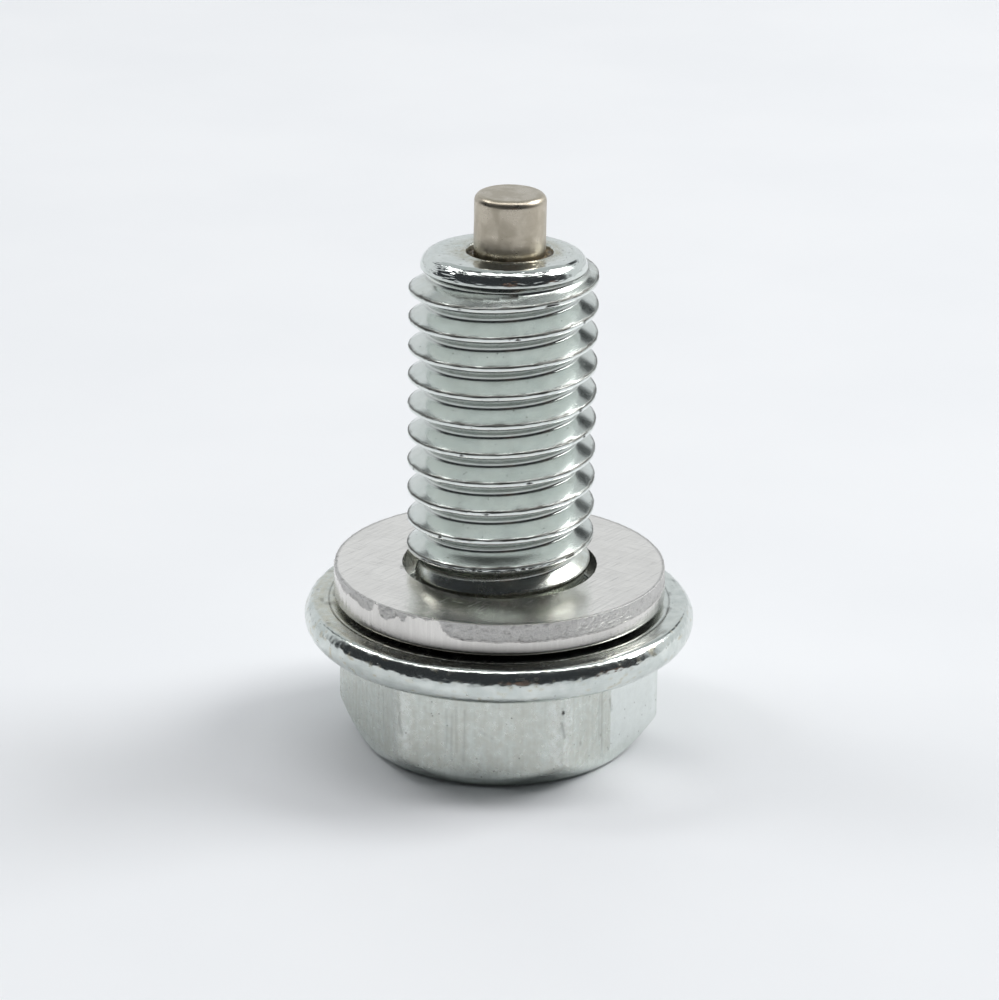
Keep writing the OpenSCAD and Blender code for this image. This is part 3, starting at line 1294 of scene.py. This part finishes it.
        low_rows, high_rows = low_r.shape[1], high_r.shape[1]
        low_top = low_first + np.arange(self.columns) * low_rows + low_rows - 1
        high_foot = high_first + np.arange(self.columns) * high_rows
        faces = [
            thread.faces,
            ring_faces(self.columns, low_rows, low_first),
            ring_faces(self.columns, high_rows, high_first),
            strip(low_top, low_ring),
            strip(high_ring, high_foot),
        ]
        none = 0 * low_r
        low_marks = marks_of(grime=none, worn=none, stained=none + 0.5)
        high_marks = marks_of(grime=high_grime, worn=high_worn, stained=high_stain)
        stacked = (thread.marks, low_marks, high_marks)
        marks = {name: np.concatenate([part[name] for part in stacked]) for name in high_marks}
        points = np.concatenate([thread.points, low_points, high_points])
        near_end = smooth(self.high_z - 0.15, self.high_z + 0.1, points[:, 2])
        points[:, 2] -= math.tan(math.radians(self.lean)) * points[:, 1] * near_end
        return Skin(points, np.concatenate(faces), marks)

    def build(self) -> None:
        """Makes and dresses the shank."""
        finish = ZincPlate(
            "zinc_plate_thread",
            dull=(0.68, 0.73, 0.705),
            gloss=0.12,
            haze=0.05,
            line_depth=0.0004,
            pit_depth=0.0018,
        )
        dress(self.skin().piece("threaded_shank"), finish.material(), "plug_body")


# The washer and the magnet


@dataclass
class SealingWasher:
    """Flat ring punched from sheet: brushed faces, and an edge sheared below and torn above.

    A torn stop is an angle in degrees and how far down the edge the torn band reaches there.
    """

    seat_z: float
    hole_r: float = 4.1
    outer_r: float = 7.0
    thickness: float = 1.38
    edge_r: float = 0.14
    burred_r: float = 0.03
    under_r: float = 5.6
    notch_depth: float = 0.12
    columns: int = 720
    torn_stops: tuple[Pair, ...] = (
        (0, 0.60),
        (40, 0.70),
        (75, 0.52),
        (110, 0.34),
        (150, 0.22),
        (180, 0.12),
        (196, 0.20),
        (201, 0.36),
        (212, 0.34),
        (218, 0.52),
        (221.5, 0.44),
        (222.8, 0.06),
        (224.5, 0.05),
        (225.5, 0.42),
        (229, 0.55),
        (232, 0.40),
        (233.5, 0.12),
        (235, 0.36),
        (236.5, 0.40),
        (237.5, 0.08),
        (243, 0.04),
        (249.5, 0.04),
        (250.5, 0.35),
        (252.6, 0.62),
        (255.5, 0.72),
        (270, 0.76),
        (300, 0.77),
        (330, 0.72),
        (345, 0.66),
        (360, 0.60),
    )

    def skin(self) -> Skin:
        """Builds the ring's surface.

        Returns:
            The surface, from the hole's lower edge round the outside to the hole's wall.
        """
        low, high = self.seat_z, self.seat_z + self.thickness
        drawn, burred = self.edge_r, self.burred_r
        inner, outer = self.hole_r, self.outer_r
        profile = [
            *arc((inner + drawn, low + drawn), drawn, (180, 270), 5),
            (self.under_r, low),
            *arc((outer - drawn, low + drawn), drawn, (-90, 0), 6),
            *line((outer, low + drawn), (outer, high - burred), 36),
            *arc((outer - burred, high - burred), burred, (0, 90), 3),
            *eased((outer - burred, high), (inner + burred, high), 44),
            *arc((inner + burred, high - burred), burred, (90, 180), 3),
            *line((inner, high - burred), (inner, low + drawn), 12),
            (inner, low + drawn),
        ]
        angle, radius, height, turns = swept(profile, self.columns)

        stops = np.array(self.torn_stops)
        depth = np.interp(np.degrees(angle), stops[:, 0], stops[:, 1])[:, None]
        ragged = 0.07 * Ripple(51).around(turns, 150) + 0.04 * Ripple(52).around(turns, 420)
        calm = smooth(0.6, 0.7, depth)
        depth = depth + ragged * (1 - 0.75 * calm)
        outside = smooth(self.outer_r - 0.2, self.outer_r - 0.04, radius)
        torn = outside * smooth(0.0, 0.03, height - (high - depth)) * (height > low + 0.2)
        rough = Ripple(53).over(turns, height, 520, 0.06) + 0.7 * Ripple(54).over(turns, height, 240, 0.15)
        sheared = 0.004 * Ripple(55).around(turns, 520) + 0.006 * Ripple(56).around(turns, 60)
        radius = radius - torn * (0.035 + 0.014 * rough) + outside * (1 - torn) * (sheared - 0.008)
        notch = bump_at(turns, height, (181.5, high - 0.1), (1.0, 0.2))
        notch = notch + bump_at(turns, height, (177, high), (0.6, 0.1))
        radius = radius - self.notch_depth * outside * notch

        inside = smooth(self.hole_r + 0.2, self.hole_r, radius)
        burr = bump_at(turns, radius, (191, self.hole_r + 0.08), (5, 0.16))
        radius = radius + inside * 0.012 * Ripple(57).over(turns, height, 160, 0.2) - inside * 0.07 * burr
        on_top = smooth(high - 0.02, high, height)
        rim_burr = on_top * smooth(self.outer_r - 0.16, self.outer_r - 0.05, radius)
        height = height - on_top * (0.006 + 0.004 * Ripple(58).over(turns, radius, 30, 0.8))
        height = height + 0.006 * rim_burr * Ripple(59).around(turns, 260) - 0.05 * on_top * burr
        grime = 0.75 * burr * smooth(0.1, 0.6, Ripple(60).over(turns, radius + height, 500, 0.06))
        grime = grime + 0.25 * torn * smooth(0.5, 0.9, rough)
        # Painted light on the outside edge: a painted dark reflection of the shadowed flange low on the front,
        # and painted shade towards the foot all round; a darker line also runs along the torn band's lower
        # boundary.
        front = bump_at(turns, height, (263, low + 0.06), (76, 0.60))
        edge = line_at(height, high - depth, 0.03) * smooth(0.55, 0.7, depth)
        grime = grime + outside * (0.95 * front + 0.22 * edge + 0.15 * smooth(low + 0.3, low + 0.1, height))
        marks = marks_of(face=on_top * (1 - outside * 0.6), coarse=torn, grime=grime)
        return Skin(turned(angle, radius, height), ring_faces(self.columns, radius.shape[1]), marks)

    def build(self) -> None:
        """Makes and dresses the washer."""
        material = BareAluminium("bare_aluminium").material()
        dress(self.skin().piece("sealing_washer_ring"), material, "sealing_washer")


@dataclass
class Magnet:
    """Plated cylinder in the tip, with the glue that holds it."""

    shank: Shank
    out: float = 2.46
    radius: float = 1.49
    length: float = 6.0
    edge_r: float = 0.32
    columns: int = 192

    def skin(self) -> Skin:
        """Builds the magnet's surface.

        Returns:
            The surface, from the middle of the foot to the middle of the top.
        """
        top = self.shank.end_z + self.out
        low = top - self.length
        r, e = self.radius, self.edge_r
        profile = [
            (0, low),
            *line((0, low), (r - e, low), 3),
            *arc((r - e, low + e), e, (-90, 0), 5),
            *line((r, low + e), (r, top - e), 48),
            *arc((r - e, top - e), e, (0, 90), 16),
            *line((r - e, top), (0, top), 14),
            (0, top),
        ]
        angle, radius, height, turns = swept(profile, self.columns)
        side = smooth(r - e, r - e + 0.1, radius)
        radius = radius - side * (0.004 - 0.003 * Ripple(61).over(turns, height, 14, 1.1))
        foot = smooth(0.5, 0.0, height - self.shank.end_z) * side
        grime = foot * smooth(-0.1, 0.7, Ripple(62).over(turns, height, 36, 0.3)) * 0.5
        points = turned(angle, radius, height, self.shank.pocket_off)
        return Skin(points, ring_faces(self.columns, radius.shape[1]), marks_of(grime=grime))

    def glue(self) -> Skin:
        """Builds the ring of set glue.

        Returns:
            The surface between the pocket's mouth and the magnet, sunk in the middle.
        """
        share = np.linspace(0, 1, 11)
        inner, outer = self.radius - 0.03, self.shank.mouth_r + 0.02
        ring = [(outer + (inner - outer) * s, self.shank.end_z) for s in share]
        angle, radius, mouth, turns = swept(ring, self.columns)
        sunk = 0.34 - 0.12 * np.cos(turns - math.radians(20)) + 0.07 * Ripple(63).around(turns, 9)
        climb = 0.16 * (2 * np.abs(share - 0.5)) ** 2.5
        lumps = 0.03 * Ripple(64).over(turns, radius, 40, 0.1)
        height = mouth - sunk + climb + lumps
        points = turned(angle, radius, height, self.shank.pocket_off)
        return Skin(points, ring_faces(self.columns, radius.shape[1]))

    def build(self) -> None:
        """Makes and dresses the magnet and its glue."""
        plate, glue = NickelPlate("nickel_plate").material(), SetGlue("set_glue").material()
        dress(self.skin().piece("magnet_pin"), plate, "magnet")
        dress(self.glue().piece("magnet_glue"), glue, None)


# The studio


@dataclass(frozen=True)
class SoftBox:
    """A rectangular lamp: where it hangs as seen from the plug, and how bright it looks.

    Attributes:
        name: the lamp's name.
        azimuth: its side in degrees, 0 towards the camera and 90 to the right.
        elevation: its height over the table in degrees.
        distance: its distance in metres.
        width: its width in metres.
        height: its height in metres.
        radiance: its brightness, where 1 is as bright as white paper in the scene.
        mirrored: whether polished surfaces mirror it.
    """

    name: str
    azimuth: float
    elevation: float
    distance: float
    width: float
    height: float
    radiance: float
    mirrored: bool = True


@dataclass
class Studio:
    """Table, light and camera.

    Attributes:
        table_size: side of the table top in metres.
        focal_px: focal length in picture points.
        distance: the camera's distance from its target, in millimetres.
        target: the point that the camera looks at, in millimetres.
        elevation: the camera's height over the table, in degrees.
        roll: how far the camera is turned about its line of sight, in degrees.
        picture_side: the picture's longer side in picture points.
        sensor: the sensor's width in millimetres.
        clip: nearest and farthest distance that the camera sees, in metres.
        gleam_power: the gleam lamp's power in watts.
        gleam_aim: the middle of the patch that it lights, in millimetres.
        gleam_from: the direction in which that lamp hangs.
        gleam_reach: its distance in millimetres.
        gleam_spread: its cone in degrees.
        walls: colours of the pale walls, high up and low down.
        gaps: colours of the dark gaps in the walls and of the dark side by the camera.
        warm: colour of the two brown things on the dark side.
        backdrop: colour that the camera sees behind the table.
        boxes: the soft boxes.
    """

    table_size: float = 1.6
    focal_px: float = 3930.0
    distance: float = 165.0
    target: tuple[float, float, float] = (-0.046, 0.0, 10.6)
    elevation: float = 20.9
    roll: float = 0.86
    picture_side: int = 1000
    sensor: float = 36.0
    clip: Pair = (0.01, 10.0)
    gleam_power: float = 0.024
    gleam_aim: tuple[float, float, float] = (5.6, -4.6, 0.0)
    gleam_from: tuple[float, float, float] = (0.50, -0.41, 0.76)
    gleam_reach: float = 40.0
    gleam_spread: float = 6.0
    walls: tuple[Colour, Colour] = ((0.47, 0.50, 0.505), (0.74, 0.765, 0.785))
    gaps: tuple[Colour, Colour] = ((0.03, 0.034, 0.036), (0.035, 0.038, 0.042))
    warm: Colour = (0.17, 0.105, 0.08)
    backdrop: Colour = (0.90, 0.91, 0.93)
    boxes: tuple[SoftBox, ...] = (
        SoftBox("right_box", 108, 42, 0.6, 0.32, 0.26, 7.8),
        SoftBox("left_box", -112, 48, 0.6, 0.16, 0.14, 5.6),
        SoftBox("top_box", 0, 86, 0.7, 0.90, 0.16, 4.1),
        SoftBox("left_fill", -95, 38, 0.6, 0.30, 0.30, 1.5, mirrored=False),
    )

    def table(self) -> None:
        """Makes the table top."""
        half = self.table_size / 2 / MM
        points = np.array([(-half, -half, 0), (half, -half, 0), (half, half, 0), (-half, half, 0)], float)
        top = Skin(points, np.array([[0, 1, 2, 3]])).piece("table_top")
        top.data.materials.append(PaleTable("pale_table").material())

    def dome(self) -> None:
        """Lights the scene from all round: pale walls, a dark side by the camera, a bright ceiling."""
        world = bpy.data.worlds.new("studio")
        bpy.context.scene.world = world
        world.use_nodes = True
        g = Graph(world.node_tree)
        towards = g.node("ShaderNodeTexCoord").outputs["Generated"]
        x, y, z = g.parts(towards)
        behind = (y + x * 0.12).ramp(0.12, 0.42)
        wall = g.colour(z.ramp(0.60, 0.54), *self.walls)
        right = (x * 0.445 + y * 0.764 + z * 0.467).ramp(0.988, 0.994)
        left = (x * -0.56 + y * 0.63 + z * 0.535).ramp(0.991, 0.996)
        wall = g.colour(right.most(left), wall, self.gaps[0])
        front = (x * 0.18 + y * -0.97 + z * 0.16).ramp(0.985, 0.996)
        side = (x * 0.93 + y * -0.36 + z * 0.07).ramp(0.985, 0.996)
        dark = g.colour(front.most(side), self.gaps[1], self.warm)
        light = g.colour(behind, dark, wall)
        seen = g.node("ShaderNodeLightPath").outputs["Is Camera Ray"]
        colour = g.colour(seen, light, self.backdrop)
        shader = g.node("ShaderNodeBackground", inputs={"Color": colour, "Strength": 1.0})
        g.ends_in(shader, "ShaderNodeOutputWorld")

    def lamp(self, box: SoftBox) -> None:
        """Adds a soft box that faces the plug.

        Args:
            box: the lamp's sizes and place.
        """
        light = bpy.data.lights.new(box.name, "AREA")
        light.shape = "RECTANGLE"
        light.size, light.size_y = box.width, box.height
        light.energy = box.radiance * math.pi * box.width * box.height
        turn, tilt = math.radians(box.azimuth), math.radians(box.elevation)
        towards = Vector((math.sin(turn) * math.cos(tilt), -math.cos(turn) * math.cos(tilt), math.sin(tilt)))
        made = bpy.data.objects.new(box.name, light)
        made.location = towards * box.distance + Vector((0, 0, 0.01))
        made.rotation_mode = "QUATERNION"
        made.rotation_quaternion = towards.to_track_quat("Z", "Y")
        made.visible_glossy = box.mirrored
        bpy.context.scene.collection.objects.link(made)

    def gleam(self) -> None:
        """Lights the patch of table onto which the head throws the light of the right box."""
        light = bpy.data.lights.new("head_gleam", "SPOT")
        light.energy, light.spot_size, light.spot_blend = self.gleam_power, math.radians(self.gleam_spread), 1.0
        light.shadow_soft_size = 2 * MM
        made = bpy.data.objects.new(light.name, light)
        aim, towards = Vector(self.gleam_aim), Vector(self.gleam_from)
        made.location = (aim + towards * self.gleam_reach) * MM
        made.rotation_mode = "QUATERNION"
        made.rotation_quaternion = towards.to_track_quat("Z", "Y")
        made.visible_glossy = False
        bpy.context.scene.collection.objects.link(made)

    def camera(self) -> None:
        """Places the camera."""
        lens = bpy.data.cameras.new("camera")
        lens.sensor_width = self.sensor
        lens.lens = self.focal_px / self.picture_side * self.sensor
        lens.clip_start, lens.clip_end = self.clip
        made = bpy.data.objects.new("camera", lens)
        bpy.context.scene.collection.objects.link(made)
        tilt = math.radians(self.elevation)
        back = Vector((0, -math.cos(tilt), math.sin(tilt))) * self.distance
        place = Matrix.Translation((Vector(self.target) + back) * MM)
        turn = Matrix.Rotation(math.pi / 2 - tilt, 4, "X")
        made.matrix_world = place @ turn @ Matrix.Rotation(math.radians(self.roll), 4, "Z")
        bpy.context.scene.camera = made

    def build(self) -> None:
        """Sets up the whole studio."""
        self.table()
        self.dome()
        for box in self.boxes:
            self.lamp(box)
        self.gleam()
        self.camera()
        bpy.context.scene.view_settings.view_transform = "Standard"


def main() -> None:
    """Builds the studio and the three parts of the plug."""
    logging.basicConfig(level=logging.INFO, format="%(message)s")
    Studio().build()
    head = HexHead()
    flange = Flange(head)
    shank = Shank(flange)
    head.build()
    flange.build()
    shank.build()
    SealingWasher(flange.seat_z).build()
    Magnet(shank).build()


if __name__ == "__main__":
    main()
